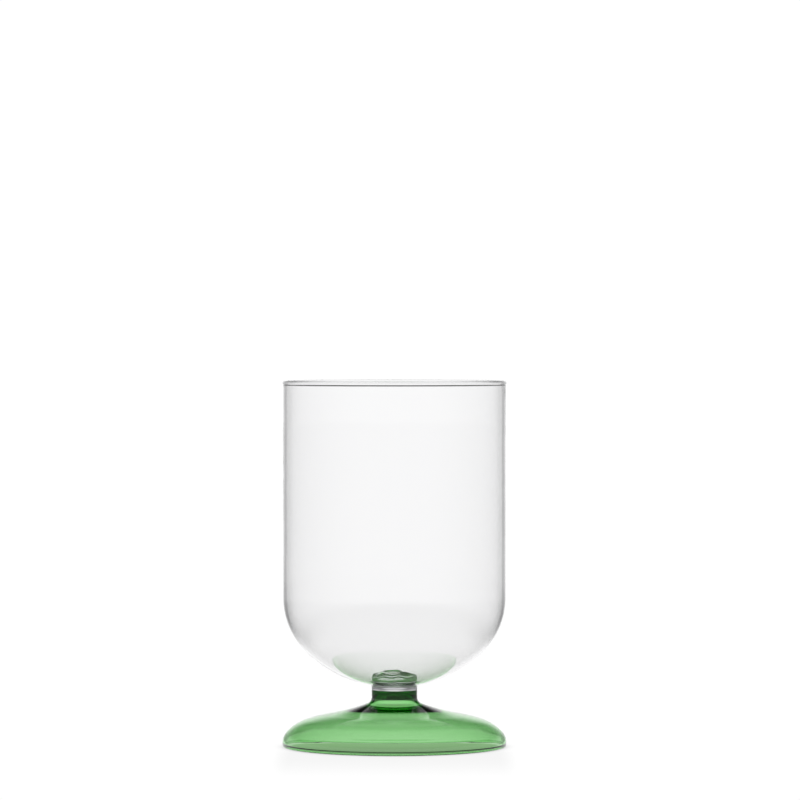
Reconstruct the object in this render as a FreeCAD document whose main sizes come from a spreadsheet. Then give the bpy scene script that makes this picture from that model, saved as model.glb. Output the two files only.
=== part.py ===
import FreeCAD, Part

import math
import os

import Sketcher

# A lampworked wine glass in borosilicate, turned about the Z axis and standing on z = 0.
# From the top down, in the order in which a glassworker seals the pieces together:
#   bowl    clear tube with a round bottom, a fire-polished rim and a hole for the button
#   button  clear plug that fills the hole and stands up inside the bowl as a thick pad
#   stem    short green cap, domed underneath, which closes the top of the foot's hollow neck
#   foot    hollow green bell, open underneath and at the top of its neck
# The pieces meet face to face. Lengths are in millimetres and angles in degrees.

SHEET_VALUES = {
    "bowl_radius": 40.0,
    "bowl_wall": 1.2,
    "knuckle_radius": 27.5,
    "crown_radius": 45.9,
    "knuckle_height": 53.6,
    "rim_height": 131.5,
    "rim_bead_radius": 0.9,
    "neck_radius": 8.2,
    "button_top": 26.6,
    "button_edge": 1.3,
    "stem_top": 20.3,
    "stem_bottom": 17.0,
    "ceiling_top": 19.7,
    "foot_radius": 40.25,
    "foot_wall": 1.0,
    "bore_radius": 7.25,
    "bore_flare": 3.2,
    "flare_radius": 2.2,
    "saddle_radius": 77.0,
    "saddle_centre_radius": 37.25,
    "saddle_centre_height": 87.4,
    "collar_radius": 16.5,
    "collar_slope": 12.6,
    "crown_arc_radius": 60.0,
    "crown_centre_radius": 13.7,
    "shoulder_radius": 15.7,
    "edge_radius": 5.88,
    "edge_height": 1.36,
    "lip_radius": 0.65,
    "land_width": 0.3,
}

# How a sketch numbers the points of an edge
START = 1
END = 2
CENTRE = 3
# How a sketch numbers its own origin point and axes
ORIGIN = (-1, 1)
HORIZONTAL_AXIS = -1
VERTICAL_AXIS = -2


class Profile:
    """A closed outline in a sketch: x is the radius from the Z axis and y is the height."""

    def __init__(self, body, name):
        self.sketch = body.newObject("Sketcher::SketchObject", name)
        self.sketch.AttachmentSupport = [(origin_feature(body, "XZ_Plane"), "")]
        self.sketch.MapMode = "FlatFace"
        self.chain = []

    def line(self, start, end, direction=None):
        """Adds the next edge as a straight line, held "Horizontal" or "Vertical" if asked."""
        points = (FreeCAD.Vector(*start, 0), FreeCAD.Vector(*end, 0))
        index = self.sketch.addGeometry(Part.LineSegment(*points), False)
        if direction:
            self.sketch.addConstraint(Sketcher.Constraint(direction, index))
        self.chain.append((index, START, END))
        return index

    def arc(self, centre, radius, first, last):
        """Adds the next edge as an arc from angle first to angle last, in degrees."""
        circle = Part.Circle(FreeCAD.Vector(*centre, 0), FreeCAD.Vector(0, 0, 1), radius)
        low, high = sorted((math.radians(first), math.radians(last)))
        index = self.sketch.addGeometry(Part.ArcOfCircle(circle, low, high), False)
        ends = (START, END) if first < last else (END, START)
        self.chain.append((index, *ends))
        return index

    def join(self, corners):
        """Joins each edge to the next: at the listed edges' ends a corner, elsewhere smoothly."""
        following = self.chain[1:] + self.chain[:1]
        for (index, _, end), (other, start, _) in zip(self.chain, following):
            kind = "Coincident" if index in corners else "Tangent"
            self.sketch.addConstraint(Sketcher.Constraint(kind, index, end, other, start))

    def concentric(self, index, other):
        self.sketch.addConstraint(Sketcher.Constraint("Coincident", index, CENTRE, other, CENTRE))

    def parallel(self, index, other):
        self.sketch.addConstraint(Sketcher.Constraint("Parallel", index, other))

    def on_axis(self, index, point, axis=VERTICAL_AXIS):
        self.sketch.addConstraint(Sketcher.Constraint("PointOnObject", index, point, axis))

    def size(self, kind, arguments, expression):
        """Adds a dimension and binds it to an expression in the spreadsheet's aliases."""
        value = self.sketch.evalExpression(expression)
        number = self.sketch.addConstraint(Sketcher.Constraint(kind, *arguments, value))
        self.sketch.setExpression(f"Constraints[{number}]", expression)

    def angle_of(self, index, expression):
        """Holds a line at an angle from the horizontal, which the sheet gives in degrees."""
        value = math.radians(self.sketch.evalExpression(expression))
        number = self.sketch.addConstraint(Sketcher.Constraint("Angle", index, value))
        self.sketch.setExpression(f"Constraints[{number}]", f"({expression}) * 1 deg")

    def radius_at(self, index, point, expression):
        self.size("DistanceX", (*ORIGIN, index, point), expression)

    def height_at(self, index, point, expression):
        self.size("DistanceY", (*ORIGIN, index, point), expression)


def origin_feature(body, role):
    """The plane or axis of a body's own origin that has the given role."""
    for feature in body.Origin.OriginFeatures:
        if feature.Role == role:
            return feature
    raise ValueError(f"{body.Label} has no origin feature {role}")


def make_sheet(document):
    """The spreadsheet of driving dimensions."""
    sheet = document.addObject("Spreadsheet::Sheet", "Dimensions")
    for row, (alias, value) in enumerate(SHEET_VALUES.items(), start=1):
        sheet.set(f"A{row}", alias)
        sheet.set(f"B{row}", str(value))
        sheet.setAlias(f"B{row}", alias)
    document.recompute()
    return sheet


def make_body(document, label):
    body = document.addObject("PartDesign::Body", label)
    body.Label = label
    body.Placement = FreeCAD.Placement()
    return body


def revolve(body, profile):
    """Turns a profile once round the Z axis."""
    feature = body.newObject("PartDesign::Revolution", body.Label + "_turned")
    feature.Profile = profile.sketch
    feature.ReferenceAxis = (origin_feature(body, "Z_Axis"), [""])
    feature.Angle = 360.0
    return feature


def make_bowl(document, sheet):
    """The clear tube: both walls are a knuckle arc and a crown arc, which share their centres."""
    body = make_body(document, "bowl")
    profile = Profile(body, "bowl_profile")
    outer = sheet.bowl_radius
    inner = outer - sheet.bowl_wall
    hole = sheet.neck_radius
    knuckle_centre = (outer - sheet.knuckle_radius, sheet.knuckle_height)
    drop = math.sqrt((sheet.crown_radius - sheet.knuckle_radius) ** 2 - knuckle_centre[0] ** 2)
    crown_centre = (0.0, sheet.knuckle_height + drop)
    blend = -math.degrees(math.atan2(drop, knuckle_centre[0]))
    bead_centre = (outer - sheet.bowl_wall / 2, sheet.rim_height - sheet.rim_bead_radius)
    bead_start = 180 + math.degrees(math.acos(sheet.bowl_wall / 2 / sheet.rim_bead_radius))
    inner_crown = sheet.crown_radius - sheet.bowl_wall
    inner_knuckle = sheet.knuckle_radius - sheet.bowl_wall
    inner_hole = -math.degrees(math.acos(hole / inner_crown))
    outer_hole = -math.degrees(math.acos(hole / sheet.crown_radius))
    inner_low = crown_centre[1] - math.sqrt(inner_crown**2 - hole**2)
    outer_low = crown_centre[1] - math.sqrt(sheet.crown_radius**2 - hole**2)

    edge = profile.line((hole, outer_low), (hole, inner_low), "Vertical")
    crown_in = profile.arc(crown_centre, inner_crown, inner_hole, blend)
    knuckle_in = profile.arc(knuckle_centre, inner_knuckle, blend, 0)
    wall_in = profile.line((inner, sheet.knuckle_height), (inner, bead_centre[1]), "Vertical")
    bead = profile.arc(bead_centre, sheet.rim_bead_radius, bead_start, 180 - bead_start)
    wall_out = profile.line((outer, bead_centre[1]), (outer, sheet.knuckle_height), "Vertical")
    knuckle_out = profile.arc(knuckle_centre, sheet.knuckle_radius, 0, blend)
    crown_out = profile.arc(crown_centre, sheet.crown_radius, blend, outer_hole)

    profile.join(corners=(edge, wall_in, bead, crown_out))
    profile.on_axis(crown_out, CENTRE)
    profile.concentric(crown_in, crown_out)
    profile.concentric(knuckle_in, knuckle_out)
    profile.size("Radius", (knuckle_out,), "Dimensions.knuckle_radius")
    profile.size("Radius", (crown_out,), "Dimensions.crown_radius")
    profile.size("Radius", (bead,), "Dimensions.rim_bead_radius")
    profile.radius_at(edge, START, "Dimensions.neck_radius")
    profile.radius_at(wall_in, START, "Dimensions.bowl_radius - Dimensions.bowl_wall")
    profile.radius_at(wall_out, END, "Dimensions.bowl_radius")
    profile.radius_at(bead, CENTRE, "Dimensions.bowl_radius - Dimensions.bowl_wall / 2")
    profile.height_at(bead, CENTRE, "Dimensions.rim_height - Dimensions.rim_bead_radius")
    profile.height_at(knuckle_out, CENTRE, "Dimensions.knuckle_height")
    revolve(body, profile)
    return body


def make_button(document, sheet):
    """The clear plug: a short rod whose upper edge has melted round inside the bowl."""
    body = make_body(document, "button")
    profile = Profile(body, "button_profile")
    side = sheet.neck_radius
    low = sheet.stem_top
    top = sheet.button_top
    rounding = sheet.button_edge
    rounding_centre = (side - rounding, top - rounding)

    base = profile.line((0, low), (side, low), "Horizontal")
    flank = profile.line((side, low), (side, top - rounding), "Vertical")
    shoulder = profile.arc(rounding_centre, rounding, 0, 90)
    pad = profile.line((side - rounding, top), (0, top), "Horizontal")
    core = profile.line((0, top), (0, low), "Vertical")

    profile.join(corners=(base, pad, core))
    profile.on_axis(core, START)
    profile.size("Radius", (shoulder,), "Dimensions.button_edge")
    profile.radius_at(flank, START, "Dimensions.neck_radius")
    profile.height_at(base, START, "Dimensions.stem_top")
    profile.height_at(core, START, "Dimensions.button_top")
    revolve(body, profile)
    return body


def make_stem(document, sheet):
    """The green cap: a short plug with a shallow dome over the hollow neck."""
    body = make_body(document, "stem")
    profile = Profile(body, "stem_profile")
    side = sheet.neck_radius
    bore = sheet.bore_radius
    low = sheet.stem_bottom
    top = sheet.stem_top
    ceiling = sheet.ceiling_top
    rise = ceiling - low
    dome_radius = (bore**2 + rise**2) / (2 * rise)
    dome_centre = (0.0, ceiling - dome_radius)
    dome_end = math.degrees(math.acos(bore / dome_radius))

    flank = profile.line((side, low), (side, top), "Vertical")
    lid = profile.line((side, top), (0, top), "Horizontal")
    core = profile.line((0, top), (0, ceiling), "Vertical")
    dome = profile.arc(dome_centre, dome_radius, 90, dome_end)
    land = profile.line((bore, low), (side, low), "Horizontal")

    profile.join(corners=(flank, lid, core, dome, land))
    profile.on_axis(core, START)
    profile.on_axis(dome, CENTRE)
    profile.radius_at(flank, START, "Dimensions.neck_radius")
    profile.radius_at(land, START, "Dimensions.bore_radius")
    profile.height_at(flank, START, "Dimensions.stem_bottom")
    profile.height_at(lid, START, "Dimensions.stem_top")
    profile.height_at(core, END, "Dimensions.ceiling_top")
    revolve(body, profile)
    return body


def meeting(centre, radius, other_centre, other_radius):
    """Where two circles meet: of the two points, the one with the greater height."""
    across = other_centre[0] - centre[0]
    up = other_centre[1] - centre[1]
    gap = math.hypot(across, up)
    along = (gap**2 + radius**2 - other_radius**2) / (2 * gap)
    off = math.sqrt(radius**2 - along**2)
    points = [
        (centre[0] + (along * across - side * up) / gap, centre[1] + (along * up + side * across) / gap)
        for side in (off, -off)
    ]
    return max(points, key=lambda point: point[1])


def bearing(centre, point):
    """The angle in degrees of the direction from a centre to a point."""
    return math.degrees(math.atan2(point[1] - centre[1], point[0] - centre[0]))


def make_foot(document, sheet):
    """The green bell: neck, concave flare and saddle, crown, shoulder and a lip with a flat land.

    The cavity follows the outer outline one wall further in, as far as the collar. There the wall
    thickens toward the neck, because the cavity's side goes on as a straight line to its mouth.
    """
    body = make_body(document, "foot")
    profile = Profile(body, "foot_profile")
    wall = sheet.foot_wall
    neck = sheet.neck_radius
    bore = sheet.bore_radius
    outer = sheet.foot_radius
    inner = outer - wall
    lip = sheet.lip_radius
    saddle = sheet.saddle_radius
    crown = sheet.crown_arc_radius
    shoulder = sheet.shoulder_radius
    edge = sheet.edge_radius
    slope = math.radians(sheet.collar_slope)
    # The fire-polished lip is a bead, flush with the outside and standing in from the thin wall.
    bead_centre = (outer - lip - sheet.land_width, lip)
    bead_end = 180 + math.degrees(math.acos((bead_centre[0] - inner) / lip))
    bead_top = lip + math.sqrt(lip**2 - (bead_centre[0] - inner) ** 2)
    # Smooth arcs touch, so the centres of two neighbours lie the sum of their radii apart where
    # the curve turns over, and the difference of their radii apart elsewhere.
    saddle_centre = (sheet.saddle_centre_radius, sheet.saddle_centre_height)
    flare_x = neck + sheet.flare_radius
    reach = saddle - sheet.flare_radius
    flare_drop = math.sqrt(reach**2 - (saddle_centre[0] - flare_x) ** 2)
    flare_centre = (flare_x, saddle_centre[1] - flare_drop)
    crown_x = sheet.crown_centre_radius
    crown_drop = math.sqrt((saddle + crown) ** 2 - (saddle_centre[0] - crown_x) ** 2)
    crown_centre = (crown_x, saddle_centre[1] - crown_drop)
    edge_centre = (outer - edge, sheet.edge_height)
    shoulder_centre = meeting(crown_centre, crown - shoulder, edge_centre, shoulder - edge)
    flare_end = bearing(saddle_centre, flare_centre)
    turn_over = bearing(saddle_centre, crown_centre)
    crown_end = bearing(crown_centre, shoulder_centre)
    hand_over = bearing(shoulder_centre, edge_centre)
    saddle_in_radius = saddle + wall
    collar_x = sheet.collar_radius
    collar_rise = math.sqrt(saddle_in_radius**2 - (saddle_centre[0] - collar_x) ** 2)
    collar = (collar_x, saddle_centre[1] - collar_rise)
    mouth_x = bore + sheet.bore_flare
    mouth_end_x = mouth_x - sheet.bore_flare * math.sin(slope)
    mouth_end = (mouth_end_x, collar[1] + (collar_x - mouth_end_x) * math.tan(slope))
    mouth_centre = (mouth_x, mouth_end[1] + sheet.bore_flare * math.cos(slope))

    top = profile.line((bore, sheet.stem_bottom), (neck, sheet.stem_bottom), "Horizontal")
    neck_side = profile.line((neck, sheet.stem_bottom), (neck, flare_centre[1]), "Vertical")
    flare = profile.arc(flare_centre, sheet.flare_radius, 180, 360 + flare_end)
    saddle_out = profile.arc(saddle_centre, saddle, flare_end, turn_over)
    crown_out = profile.arc(crown_centre, crown, turn_over + 180, crown_end)
    shoulder_out = profile.arc(shoulder_centre, shoulder, crown_end, hand_over)
    edge_out = profile.arc(edge_centre, edge, hand_over, 0)
    side = profile.line((outer, sheet.edge_height), (outer, lip), "Vertical")
    lip_out = profile.arc((outer - lip, lip), lip, 0, -90)
    land = profile.line((outer - lip, 0), (bead_centre[0], 0), "Horizontal")
    lip_in = profile.arc(bead_centre, lip, -90, -bead_end)
    side_in = profile.line((inner, bead_top), (inner, sheet.edge_height), "Vertical")
    edge_in = profile.arc(edge_centre, edge - wall, 0, hand_over)
    shoulder_in = profile.arc(shoulder_centre, shoulder - wall, hand_over, crown_end)
    crown_in = profile.arc(crown_centre, crown - wall, crown_end, turn_over + 180)
    saddle_in = profile.arc(saddle_centre, saddle_in_radius, turn_over, bearing(saddle_centre, collar))
    collar_in = profile.line(collar, mouth_end)
    mouth = profile.arc(mouth_centre, sheet.bore_flare, 270 - sheet.collar_slope, 180)
    bore_side = profile.line((bore, mouth_centre[1]), (bore, sheet.stem_bottom), "Vertical")

    profile.join(corners=(top, lip_in, saddle_in, bore_side))
    profile.concentric(edge_in, edge_out)
    profile.concentric(shoulder_in, shoulder_out)
    profile.concentric(crown_in, crown_out)
    profile.concentric(saddle_in, saddle_out)
    profile.size("Radius", (flare,), "Dimensions.flare_radius")
    profile.size("Radius", (saddle_out,), "Dimensions.saddle_radius")
    profile.size("Radius", (crown_out,), "Dimensions.crown_arc_radius")
    profile.size("Radius", (shoulder_out,), "Dimensions.shoulder_radius")
    profile.size("Radius", (edge_out,), "Dimensions.edge_radius")
    profile.size("Radius", (lip_out,), "Dimensions.lip_radius")
    profile.size("Radius", (lip_in,), "Dimensions.lip_radius")
    profile.size("Radius", (mouth,), "Dimensions.bore_flare")
    profile.angle_of(collar_in, "180 - Dimensions.collar_slope")
    profile.radius_at(top, START, "Dimensions.bore_radius")
    profile.radius_at(neck_side, START, "Dimensions.neck_radius")
    profile.radius_at(side, START, "Dimensions.foot_radius")
    profile.radius_at(side_in, START, "Dimensions.foot_radius - Dimensions.foot_wall")
    profile.size("DistanceX", (lip_in, CENTRE, lip_out, CENTRE), "Dimensions.land_width")
    profile.radius_at(saddle_out, CENTRE, "Dimensions.saddle_centre_radius")
    profile.radius_at(crown_out, CENTRE, "Dimensions.crown_centre_radius")
    profile.radius_at(collar_in, START, "Dimensions.collar_radius")
    profile.height_at(saddle_out, CENTRE, "Dimensions.saddle_centre_height")
    profile.height_at(edge_out, CENTRE, "Dimensions.edge_height")
    profile.height_at(top, START, "Dimensions.stem_bottom")
    profile.on_axis(land, START, HORIZONTAL_AXIS)
    revolve(body, profile)
    return body


def check(document, pieces):
    """Stops before anything is written if a step failed or a piece isn't one sound solid."""
    for item in document.Objects:
        if {"Invalid", "Error"} & set(item.State):
            raise RuntimeError(f"{item.Label} failed: {item.State}")
        if item.isDerivedFrom("Sketcher::SketchObject") and not item.FullyConstrained:
            raise RuntimeError(f"{item.Label} is not fully constrained")
    for piece in pieces:
        shape = piece.Shape
        if shape.isNull() or not shape.isValid() or len(shape.Solids) != 1:
            raise RuntimeError(f"{piece.Label} is not one valid solid")


def main():
    document = FreeCAD.newDocument("wine_glass")
    sheet = make_sheet(document)
    pieces = [
        make_bowl(document, sheet),
        make_button(document, sheet),
        make_stem(document, sheet),
        make_foot(document, sheet),
    ]
    document.recompute()
    check(document, pieces)
    os.makedirs("parts", exist_ok=True)
    for piece in pieces:
        piece.Shape.exportStep(f"parts/{piece.Label}.step")
        print(piece.Label, "volume", round(piece.Shape.Volume), "mm3")


main()
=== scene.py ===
"""A wine glass: clear bowl and button, fused on a green stem and a hollow green foot."""

import math

import bmesh
import bpy
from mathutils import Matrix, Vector


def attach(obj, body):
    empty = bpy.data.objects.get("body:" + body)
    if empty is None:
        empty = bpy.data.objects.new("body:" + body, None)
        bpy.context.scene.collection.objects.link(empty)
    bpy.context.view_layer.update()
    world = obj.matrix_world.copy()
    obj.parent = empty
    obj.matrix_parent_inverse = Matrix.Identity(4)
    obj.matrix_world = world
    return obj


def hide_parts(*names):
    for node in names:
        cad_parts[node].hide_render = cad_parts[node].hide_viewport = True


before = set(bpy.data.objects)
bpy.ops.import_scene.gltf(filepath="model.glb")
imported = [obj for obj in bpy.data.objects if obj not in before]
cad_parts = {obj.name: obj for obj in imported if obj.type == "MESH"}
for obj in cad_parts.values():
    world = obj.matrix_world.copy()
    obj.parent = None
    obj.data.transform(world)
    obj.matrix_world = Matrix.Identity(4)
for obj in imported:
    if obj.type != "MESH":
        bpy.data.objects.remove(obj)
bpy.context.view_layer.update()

MM = 0.001
SEGMENTS = 384

# Sizes in millimetres and slopes in degrees. They follow the CAD model, which gives the foot's
# arcs by their centres, so the two differ there by less than 0.1 mm. BASE_WALL, PAD_TOP, the
# fillets, SEAM_GAP and SEAM_ROUNDING are this script's own, and stay inside the CAD's box.
BOWL_RADIUS = 40.0
BOWL_WALL = 1.2
BASE_WALL = 0.7
KNUCKLE_RADIUS = 27.5
KNUCKLE_HEIGHT = 53.6
CROWN_RADIUS = 45.9
RIM_HEIGHT = 131.5
RIM_BEAD = 0.9
NECK_RADIUS = 8.2
SEAM = 20.3
SEAM_GAP = 0.01
PAD_TOP = 26.2
PAD_EDGE = 1.3
PAD_FILLET = 0.9
COLLAR_FILLET = 0.7
COLLAR_FILLET_END = 106
SEAM_ROUNDING = 0.1

FOOT_RADIUS = 40.25
FOOT_WALL = 1.0
FLARE_RADIUS = 2.2
TURNOVER_RADIUS = 24.0  # where the foot's hollow curve turns over into its rounded one
TURNOVER_HEIGHT = 11.54
SADDLE_TOP_SLOPE = 21.03
SADDLE_LOW_SLOPE = 9.91
FOOT_CROWN = 60.0
SHOULDER_SLOPE = 17.82
EDGE_RADIUS = 5.88
EDGE_HEIGHT = 1.36
LIP = 0.65
LAND = 0.3
COLLAR_SLOPE = 12.6
BORE_RADIUS = 7.25
BORE_FLARE = 3.2
BORE_TOP = 17.0
CEILING_TOP = 19.7
COLLAR_RADIUS = 16.5

# Glass: what a millimetre absorbs of red, green and blue, and the faint ripple of its surface.
CLEAR_PER_MM = (0.026, 0.026, 0.024)
GREEN_PER_MM = (0.5, 0.16, 0.54)
REFRACTION = 1.47
RIPPLE = 0.12
RIPPLE_SCALE = 95.0
RIPPLE_DEPTH = 0.0002

SAME_POINT = 1e-4
ON_AXIS = 1e-6


def arc(x, z, radius, start, end, count):
    """Points on a circle, with angles in degrees from the +r axis."""
    return [
        (
            x + radius * math.cos(math.radians(start + (end - start) * i / count)),
            z + radius * math.sin(math.radians(start + (end - start) * i / count)),
        )
        for i in range(count + 1)
    ]


def line(start, end, count):
    """Points on a straight line, both ends included."""
    return [
        (start[0] + (end[0] - start[0]) * i / count, start[1] + (end[1] - start[1]) * i / count)
        for i in range(count + 1)
    ]


def eased(share):
    """0 to 1 with a soft start and a soft end."""
    return share * share * (3 - 2 * share)


def thinning(centre, radius, start, end, count, first, last):
    """An arc inside a radius, as the wall between them eases from first to last."""
    points = []
    for i in range(count + 1):
        share = eased(i / count)
        inner = radius - first - (last - first) * share
        points += arc(*centre, inner, start + (end - start) * i / count, 0, 1)[:1]
    return points


def angle_to(centre, point):
    """The direction of a point from a centre, in degrees."""
    return math.degrees(math.atan2(point[1] - centre[1], point[0] - centre[0]))


def without_repeats(points):
    """The same points, each one once where two stretches meet."""
    kept = [points[0]]
    for point in points[1:]:
        if math.hypot(point[0] - kept[-1][0], point[1] - kept[-1][1]) > SAME_POINT:
            kept.append(point)
    return kept


def lathe(name, profile, drift=None):
    """Turns a profile (r, z) in millimetres round the Z axis. drift moves each point a little."""
    profile = without_repeats(profile)
    mesh = bmesh.new()
    rings = []
    for r, z in profile:
        if r < ON_AXIS:
            rings.append([mesh.verts.new((0, 0, z * MM))])
            continue
        ring = []
        for k in range(SEGMENTS):
            turn = 2 * math.pi * k / SEGMENTS
            x, y, h = r * math.cos(turn), r * math.sin(turn), z
            if drift:
                x, y, h = drift(x, y, h)
            ring.append(mesh.verts.new((x * MM, y * MM, h * MM)))
        rings.append(ring)
    for low, high in zip(rings, rings[1:]):
        for k in range(SEGMENTS):
            after = (k + 1) % SEGMENTS
            if len(low) == 1:
                mesh.faces.new((low[0], high[after], high[k]))
            elif len(high) == 1:
                mesh.faces.new((low[k], low[after], high[0]))
            else:
                mesh.faces.new((low[k], low[after], high[after], high[k]))
    bmesh.ops.recalc_face_normals(mesh, faces=mesh.faces)
    if mesh.calc_volume(signed=True) < 0:
        bmesh.ops.reverse_faces(mesh, faces=mesh.faces)
    data = bpy.data.meshes.new(name)
    mesh.to_mesh(data)
    mesh.free()
    data.polygons.foreach_set("use_smooth", [True] * len(data.polygons))
    piece = bpy.data.objects.new(name, data)
    bpy.context.scene.collection.objects.link(piece)
    return piece


def relaxed(points, spread=1.1, spacing=0.2, fixed=2.5):
    """The same curve, evenly spaced, with changes of curvature smoothed away from its ends."""
    lengths = [0.0]
    for a, b in zip(points, points[1:]):
        lengths.append(lengths[-1] + math.hypot(b[0] - a[0], b[1] - a[1]))
    count = int(lengths[-1] / spacing)
    even, at = [], 0
    for i in range(count + 1):
        here = lengths[-1] * i / count
        while at < len(points) - 2 and lengths[at + 1] < here:
            at += 1
        share = (here - lengths[at]) / max(1e-9, lengths[at + 1] - lengths[at])
        even.append([a + (b - a) * share for a, b in zip(points[at], points[at + 1])])
    reach = int(3 * spread / spacing)
    weights = [math.exp(-((k * spacing / spread) ** 2) / 2) for k in range(-reach, reach + 1)]
    smooth = []
    for i, point in enumerate(even):
        from_end = min(i, count - i) * spacing
        blend = eased(max(0.0, min(1.0, (from_end - fixed) / (3 * spread))))
        near = [even[min(count, max(0, i + k))] for k in range(-reach, reach + 1)]
        mean = [sum(w * n[axis] for w, n in zip(weights, near)) / sum(weights) for axis in (0, 1)]
        smooth.append(tuple(p + (m - p) * blend for p, m in zip(point, mean)))
    return smooth


def foot_profile():
    """The foot and stem in section: down the outside, round the lip, and up the inside."""
    top = math.radians(SADDLE_TOP_SLOPE)
    low = math.radians(SADDLE_LOW_SLOPE)
    steep = math.radians(SHOULDER_SLOPE)
    flare_x = NECK_RADIUS + FLARE_RADIUS
    start_x = flare_x - FLARE_RADIUS * math.sin(top)
    saddle = (TURNOVER_RADIUS - start_x) / (math.sin(top) - math.sin(low))
    saddle_c = (TURNOVER_RADIUS + saddle * math.sin(low), TURNOVER_HEIGHT + saddle * math.cos(low))
    start = (start_x, saddle_c[1] - saddle * math.cos(top))
    flare_c = (flare_x, start[1] + FLARE_RADIUS * math.cos(top))
    end = (TURNOVER_RADIUS, TURNOVER_HEIGHT)
    crown_c = (end[0] - FOOT_CROWN * math.sin(low), end[1] - FOOT_CROWN * math.cos(low))
    knee = (crown_c[0] + FOOT_CROWN * math.sin(steep), crown_c[1] + FOOT_CROWN * math.cos(steep))
    edge_c = (FOOT_RADIUS - EDGE_RADIUS, EDGE_HEIGHT)
    a, b = knee[0] - edge_c[0], knee[1] - edge_c[1]
    shoulder = (a * a + b * b - EDGE_RADIUS**2) / (
        2 * (a * math.sin(steep) + b * math.cos(steep) - EDGE_RADIUS)
    )
    shoulder_c = (knee[0] - shoulder * math.sin(steep), knee[1] - shoulder * math.cos(steep))
    turn = angle_to(shoulder_c, edge_c)
    inner = FOOT_RADIUS - FOOT_WALL
    cone = math.radians(COLLAR_SLOPE)

    points = [(0, SEAM)]
    points += arc(NECK_RADIUS - SEAM_ROUNDING, SEAM - SEAM_ROUNDING, SEAM_ROUNDING, 90, 0, 5)
    points += line((NECK_RADIUS, SEAM - SEAM_ROUNDING), (NECK_RADIUS, flare_c[1]), 12)
    points += arc(*flare_c, FLARE_RADIUS, 180, 270 - SADDLE_TOP_SLOPE, 24)
    top_side = arc(*saddle_c, saddle, angle_to(saddle_c, start), angle_to(saddle_c, end), 50)
    top_side += arc(*crown_c, FOOT_CROWN, 90 - SADDLE_LOW_SLOPE, 90 - SHOULDER_SLOPE, 30)
    top_side += arc(*shoulder_c, shoulder, 90 - SHOULDER_SLOPE, turn, 40)
    top_side += arc(*edge_c, EDGE_RADIUS, turn, 0, 30)
    points += relaxed(without_repeats(top_side))
    points += line((FOOT_RADIUS, EDGE_HEIGHT), (FOOT_RADIUS, LIP), 4)
    points += arc(FOOT_RADIUS - LIP, LIP, LIP, 0, -90, 10)
    bead_x = FOOT_RADIUS - LIP - LAND
    bead_turn = math.degrees(math.acos((bead_x - inner) / LIP))
    points += line((FOOT_RADIUS - LIP, 0), (bead_x, 0), 3)
    points += arc(bead_x, LIP, LIP, -90, -180 - bead_turn, 30)
    low_side = arc(*edge_c, EDGE_RADIUS - FOOT_WALL, 0, turn, 30)
    low_side += arc(*shoulder_c, shoulder - FOOT_WALL, turn, 90 - SHOULDER_SLOPE, 40)
    crown_inner = FOOT_CROWN - FOOT_WALL
    low_side += arc(*crown_c, crown_inner, 90 - SHOULDER_SLOPE, 90 - SADDLE_LOW_SLOPE, 30)
    offset = saddle + FOOT_WALL
    collar_turn = 180 + math.degrees(math.acos((saddle_c[0] - COLLAR_RADIUS) / offset))
    low_side += arc(*saddle_c, offset, 270 - SADDLE_LOW_SLOPE, collar_turn, 30)
    under = low_side[-1]
    mouth_x = BORE_RADIUS + BORE_FLARE
    mouth_r = mouth_x - BORE_FLARE * math.sin(cone)
    mouth = (mouth_r, under[1] + (under[0] - mouth_r) * math.tan(cone))
    mouth_c = (mouth_x, mouth[1] + BORE_FLARE * math.cos(cone))
    low_side += line(under, mouth, 40)
    points += relaxed(without_repeats(low_side))
    points += arc(*mouth_c, BORE_FLARE, 270 - COLLAR_SLOPE, 180, 12)
    points += line((BORE_RADIUS, mouth_c[1]), (BORE_RADIUS, BORE_TOP), 8)
    rise = CEILING_TOP - BORE_TOP
    dome = (BORE_RADIUS**2 + rise**2) / (2 * rise)
    dome_edge = math.degrees(math.acos(BORE_RADIUS / dome))
    points += arc(0, CEILING_TOP - dome, dome, dome_edge, 90, 40)
    return points


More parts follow.
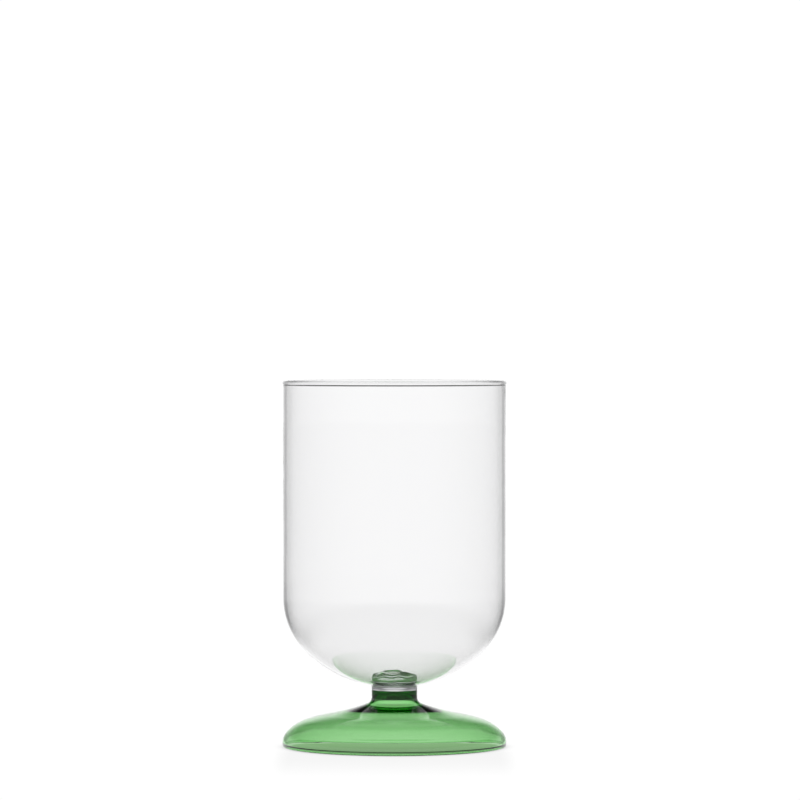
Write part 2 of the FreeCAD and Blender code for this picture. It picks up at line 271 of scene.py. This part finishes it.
def bowl_profile():
    """The bowl and button in section: up the outside, over the rim, and down to the pad."""
    knuckle_c = (BOWL_RADIUS - KNUCKLE_RADIUS, KNUCKLE_HEIGHT)
    drop = math.sqrt((CROWN_RADIUS - KNUCKLE_RADIUS) ** 2 - knuckle_c[0] ** 2)
    crown_z = KNUCKLE_HEIGHT + drop
    turn = -math.degrees(math.atan2(drop, knuckle_c[0]))
    inner = BOWL_RADIUS - BOWL_WALL

    def under(r, radius):
        return crown_z - math.sqrt(radius**2 - r**2)

    bottom = SEAM + SEAM_GAP
    points = [(0, bottom)]
    points += arc(NECK_RADIUS - SEAM_ROUNDING, bottom + SEAM_ROUNDING, SEAM_ROUNDING, -90, 0, 5)
    reach = NECK_RADIUS + COLLAR_FILLET
    joint = under(reach, CROWN_RADIUS) - COLLAR_FILLET
    points += line((NECK_RADIUS, bottom + SEAM_ROUNDING), (NECK_RADIUS, joint), 4)
    points += arc(reach, joint, COLLAR_FILLET, 180, COLLAR_FILLET_END, 8)
    crown_from = -math.degrees(math.acos(reach / CROWN_RADIUS))
    points += arc(0, crown_z, CROWN_RADIUS, crown_from, turn, 40)
    points += arc(*knuckle_c, KNUCKLE_RADIUS, turn, 0, 50)
    bead_z = RIM_HEIGHT - RIM_BEAD
    bead_x = BOWL_RADIUS - BOWL_WALL / 2
    open_half = math.degrees(math.acos(BOWL_WALL / 2 / RIM_BEAD))
    points += line((BOWL_RADIUS, KNUCKLE_HEIGHT), (BOWL_RADIUS, bead_z - RIM_BEAD), 40)
    points += arc(bead_x, bead_z, RIM_BEAD, -open_half, 180 + open_half, 36)
    points += line((inner, bead_z - RIM_BEAD), (inner, KNUCKLE_HEIGHT), 40)
    points += thinning(knuckle_c, KNUCKLE_RADIUS, 0, turn, 50, BOWL_WALL, BASE_WALL)
    inside = CROWN_RADIUS - BASE_WALL
    pad_reach = NECK_RADIUS + PAD_FILLET
    pad_foot = under(pad_reach, inside) + PAD_FILLET
    points += arc(0, crown_z, inside, turn, -math.degrees(math.acos(pad_reach / inside)), 40)
    points += arc(pad_reach, pad_foot, PAD_FILLET, -90, -180, 10)
    points += line((NECK_RADIUS, pad_foot), (NECK_RADIUS, PAD_TOP - PAD_EDGE), 8)
    points += arc(NECK_RADIUS - PAD_EDGE, PAD_TOP - PAD_EDGE, PAD_EDGE, 0, 90, 12)
    points += line((NECK_RADIUS - PAD_EDGE, PAD_TOP), (0, PAD_TOP), 30)
    return points


# Slow waves in the hand-made pad: (radians per mm, direction, phase, height in mm).
PAD_WAVES = (
    (0.42, 0.3, 1.1, 0.34),
    (0.61, 2.1, 4.0, 0.26),
    (0.87, 1.2, 2.2, 0.17),
    (1.25, 2.8, 0.4, 0.1),
)
PAD_DRIFT_FROM = 22.6
PAD_DRIFT_RISE = 2.5
PAD_MARGIN = 1.0
PAD_SWELL = 0.012
PAD_LOBES = 3


def pad_drift(x, y, z):
    """The pad inside the bowl isn't quite round or level."""
    r = math.hypot(x, y)
    if r > NECK_RADIUS + PAD_MARGIN or z <= PAD_DRIFT_FROM:
        return x, y, z
    share = min(1.0, (z - PAD_DRIFT_FROM) / PAD_DRIFT_RISE)
    lift = sum(
        height * math.sin(rate * (x * math.cos(way) + y * math.sin(way)) + phase)
        for rate, way, phase, height in PAD_WAVES
    )
    swell = 1 + PAD_SWELL * share * math.sin(PAD_LOBES * math.atan2(y, x) + 1.0)
    return x * swell, y * swell, z + share * lift


def new_material(name):
    made = bpy.data.materials.new(name)
    made.use_nodes = True
    made.node_tree.nodes.clear()
    return made, made.node_tree.nodes, made.node_tree.links


def glass_material(name, per_mm):
    """Glass with a faintly rippled surface, which absorbs per_mm of each colour in a millimetre."""
    made, nodes, links = new_material(name)
    out = nodes.new("ShaderNodeOutputMaterial")
    shader = nodes.new("ShaderNodeBsdfPrincipled")
    shader.inputs["Base Color"].default_value = (1, 1, 1, 1)
    shader.inputs["Roughness"].default_value = 0.0
    shader.inputs["IOR"].default_value = REFRACTION
    shader.inputs["Transmission Weight"].default_value = 1.0
    links.new(shader.outputs[0], out.inputs["Surface"])

    where = nodes.new("ShaderNodeTexCoord")
    waves = nodes.new("ShaderNodeTexNoise")
    waves.inputs["Scale"].default_value = RIPPLE_SCALE
    waves.inputs["Detail"].default_value = 1.0
    bump = nodes.new("ShaderNodeBump")
    bump.inputs["Strength"].default_value = RIPPLE
    bump.inputs["Distance"].default_value = RIPPLE_DEPTH
    links.new(where.outputs["Object"], waves.inputs["Vector"])
    links.new(waves.outputs["Fac"], bump.inputs["Height"])
    links.new(bump.outputs["Normal"], shader.inputs["Normal"])

    density = max(per_mm) / MM
    volume = nodes.new("ShaderNodeVolumeAbsorption")
    tint = [1 - share / MM / density for share in per_mm]
    volume.inputs["Color"].default_value = (*tint, 1)
    volume.inputs["Density"].default_value = density
    links.new(volume.outputs[0], out.inputs["Volume"])
    return made


clear = lathe("clear_bowl_and_button", bowl_profile(), pad_drift)
clear.data.materials.append(glass_material("clear_glass_look", CLEAR_PER_MM))
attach(clear, "root")
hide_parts("bowl", "button")

green = lathe("green_stem_and_foot", foot_profile())
green.data.materials.append(glass_material("green_glass_look", GREEN_PER_MM))
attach(green, "root")
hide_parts("stem", "foot")

# The stage, in metres and degrees. It has no lamps: the floor and the world give all the light.
# The levels were set by comparing renders with the photograph. The camera sees the floor in one
# pale tone with painted soft shades: a contact shade from ambient occlusion, and one drawn by
# position. Every other ray sees a glowing floor that is brightest behind the glass. Both see a
# green shade painted under the foot, which stands in for light through the green glass. A ramp is
# (where it starts, where it ends, value before, value after).
FLOOR_FAR = 6.0
FLOOR_SIDES = 96
FLOOR_DROP = 0.0001
LANE_LEVEL = 1.02
LANE_EDGE = (0.09, 0.05)  # half the lane's width: what it gains in a metre, and what it starts with
LANE_OUTER = (0.2, 0.10)
FRONT_OF_GLASS = (-0.06, 0.02, 1.0, 0.0)
NEAR_FLOOR = (0.4, 1.3, 0.5, 1.0)
# A green shade painted on the floor under the foot, for light through the green glass, and the
# reach where it ends.
PAINTED_GREEN_SHADE = (0.42, 0.55, 0.38)
PAINTED_GREEN_SHADE_EDGE = (0.036, 0.0402, 0.0, 1.0)

CONTACT_DISTANCE = 0.03
CONTACT_SAMPLES = 12
CONTACT_SHADE = (0.25, 0.95, 0.72, 1.02)
DRAWN_SHADE_SIDES = (0.036, 0.045, 1.0, 0.0)
DRAWN_SHADE_START = (-0.14, -0.045, 0.0, 0.1)
DRAWN_SHADE_END = (-0.03, -0.005, 0.1, 0.0)

# Light by direction, in degrees from straight behind the glass. The three are added together.
BEHIND_TO_SIDE = (4.0, 23.0, 1.04, 0.50)
WIDER = (24.0, 36.0, 0.0, 0.13)
IN_FRONT = (75.0, 150.0, 0.0, 0.22)
PANEL_TOP = 8.0
PANEL_FADE = 16
TOP_LIGHT = 0.02

CAMERA_PLACE = (0.0, -1.7, 0.149)
CAMERA_AIM = (0.002, 0, 0.1245)
LENS = 213
SENSOR = 36
CAMERA_FAR = 30


class Nodes:
    """Short ways to add shader nodes to one tree."""

    def __init__(self, tree):
        self.nodes, self.links = tree.nodes, tree.links

    def join(self, value, socket):
        if isinstance(value, (int, float, tuple)):
            socket.default_value = value
        else:
            self.links.new(value, socket)

    def maths(self, operation, *values):
        node = self.nodes.new("ShaderNodeMath")
        node.operation = operation
        for value, socket in zip(values, node.inputs):
            self.join(value, socket)
        return node.outputs[0]

    def ramp(self, value, start, end, low, high):
        node = self.nodes.new("ShaderNodeMapRange")
        node.interpolation_type = "SMOOTHSTEP"
        limits = {"Value": value, "From Min": start, "From Max": end, "To Min": low, "To Max": high}
        for key, limit in limits.items():
            self.join(limit, node.inputs[key])
        return node.outputs[0]

    def mix(self, factor, first, second, kind="FLOAT"):
        node = self.nodes.new("ShaderNodeMix")
        node.data_type = kind
        for key, value in {"Factor": factor, "A": first, "B": second}.items():
            self.join(value, node.inputs[key])
        return node.outputs["Result"]

    def split(self, vector):
        node = self.nodes.new("ShaderNodeSeparateXYZ")
        self.links.new(vector, node.inputs[0])
        return node.outputs

    def around(self, x, y):
        """Light by direction: full behind the glass, half beside it, and brighter in front."""
        turn = self.maths("ABSOLUTE", self.maths("ARCTAN2", x, y))
        deg = self.maths("MULTIPLY", turn, 180 / math.pi)
        near, wide, front = (self.ramp(deg, *part) for part in (BEHIND_TO_SIDE, WIDER, IN_FRONT))
        return self.maths("ADD", near, self.maths("ADD", wide, front))


def lit_floor(tree, place, aside, reach):
    """The floor's level for light and reflections: a lane that widens behind the glass."""
    behind = tree.maths("MAXIMUM", place["Y"], 0.0)
    edge = tree.maths("MULTIPLY_ADD", behind, *LANE_EDGE)
    outer = tree.maths("MULTIPLY_ADD", behind, *LANE_OUTER)
    in_front = tree.ramp(place["Y"], *FRONT_OF_GLASS)
    off_lane = tree.maths("MAXIMUM", tree.ramp(aside, edge, outer, 0.0, 1.0), in_front)
    near = tree.ramp(reach, *NEAR_FLOOR)
    off_light = tree.maths("MULTIPLY", tree.around(place["X"], place["Y"]), near)
    return tree.mix(off_lane, LANE_LEVEL, off_light)


def seen_floor(tree, place, aside):
    """The floor's level for the camera: a contact shade, and a soft shade drawn in front."""
    shade = tree.nodes.new("ShaderNodeAmbientOcclusion")
    shade.samples = CONTACT_SAMPLES
    shade.inputs["Distance"].default_value = CONTACT_DISTANCE
    contact = tree.ramp(shade.outputs["AO"], *CONTACT_SHADE)
    over = tree.ramp(aside, *DRAWN_SHADE_SIDES)
    fade = tree.maths(
        "MINIMUM",
        tree.ramp(place["Y"], *DRAWN_SHADE_START),
        tree.ramp(place["Y"], *DRAWN_SHADE_END),
    )
    return tree.maths("SUBTRACT", contact, tree.maths("MULTIPLY", over, fade))


def floor_material():
    look, nodes, links = new_material("floor_look")
    tree = Nodes(look.node_tree)
    out = nodes.new("ShaderNodeOutputMaterial")
    glow = nodes.new("ShaderNodeEmission")
    links.new(glow.outputs[0], out.inputs["Surface"])
    place = tree.split(nodes.new("ShaderNodeNewGeometry").outputs["Position"])
    aside = tree.maths("ABSOLUTE", place["X"])
    away = tree.maths("ABSOLUTE", place["Y"])
    squares = tree.maths("ADD", tree.maths("POWER", aside, 2), tree.maths("POWER", away, 2))
    reach = tree.maths("SQRT", squares)
    # The painted green shade under the foot, which stands in for light through the green glass.
    tint = tree.mix(
        tree.ramp(reach, *PAINTED_GREEN_SHADE_EDGE), (*PAINTED_GREEN_SHADE, 1), (1.0, 1.0, 1.0, 1.0), "RGBA"
    )
    links.new(tint, glow.inputs["Color"])
    is_camera = nodes.new("ShaderNodeLightPath").outputs["Is Camera Ray"]
    lit = lit_floor(tree, place, aside, reach)
    links.new(tree.mix(is_camera, lit, seen_floor(tree, place, aside)), glow.inputs["Strength"])
    return look


def add_floor():
    """A disc just under the foot."""
    data = bpy.data.meshes.new("floor")
    turn = 360 - 360 / FLOOR_SIDES
    rim = [(x, y, -FLOOR_DROP) for x, y in arc(0, 0, FLOOR_FAR, 0, turn, FLOOR_SIDES - 1)]
    data.from_pydata(rim, [], [tuple(range(len(rim)))])
    data.materials.append(floor_material())
    made = bpy.data.objects.new("floor", data)
    bpy.context.scene.collection.objects.link(made)
    return made


def add_world():
    """A bright panel behind the glass, dimmer beside and in front of it, nearly dark above."""
    world = bpy.data.worlds.new("studio")
    bpy.context.scene.world = world
    world.use_nodes = True
    tree = Nodes(world.node_tree)
    back = tree.nodes["Background"]
    back.inputs["Color"].default_value = (1, 1, 1, 1)
    way = tree.split(tree.nodes.new("ShaderNodeTexCoord").outputs["Generated"])
    sideways = tree.around(way["X"], way["Y"])
    low, high = (math.sin(math.radians(angle)) for angle in (PANEL_TOP, PANEL_TOP + PANEL_FADE))
    height = tree.ramp(way["Z"], low, high, 1.0, 0.0)
    level = tree.maths("MAXIMUM", tree.maths("MULTIPLY", sideways, height), TOP_LIGHT)
    tree.links.new(level, back.inputs["Strength"])


def add_camera():
    """The camera at the photograph's viewing angle, as far away as its outlines suggest."""
    lens = bpy.data.cameras.new("camera")
    lens.lens = LENS
    lens.sensor_width = SENSOR
    lens.clip_end = CAMERA_FAR
    camera = bpy.data.objects.new("camera", lens)
    camera.location = CAMERA_PLACE
    sight = Vector(CAMERA_AIM) - camera.location
    camera.rotation_euler = sight.to_track_quat("-Z", "Y").to_euler()
    bpy.context.scene.collection.objects.link(camera)
    bpy.context.scene.camera = camera


floor = add_floor()
add_world()
add_camera()

scene = bpy.context.scene
scene.view_settings.view_transform = "Standard"
# Light goes through many surfaces of a glass before it reaches the camera.
scene.cycles.max_bounces = 32
scene.cycles.transmission_bounces = 32
scene.cycles.glossy_bounces = 16
scene.cycles.transparent_max_bounces = 32
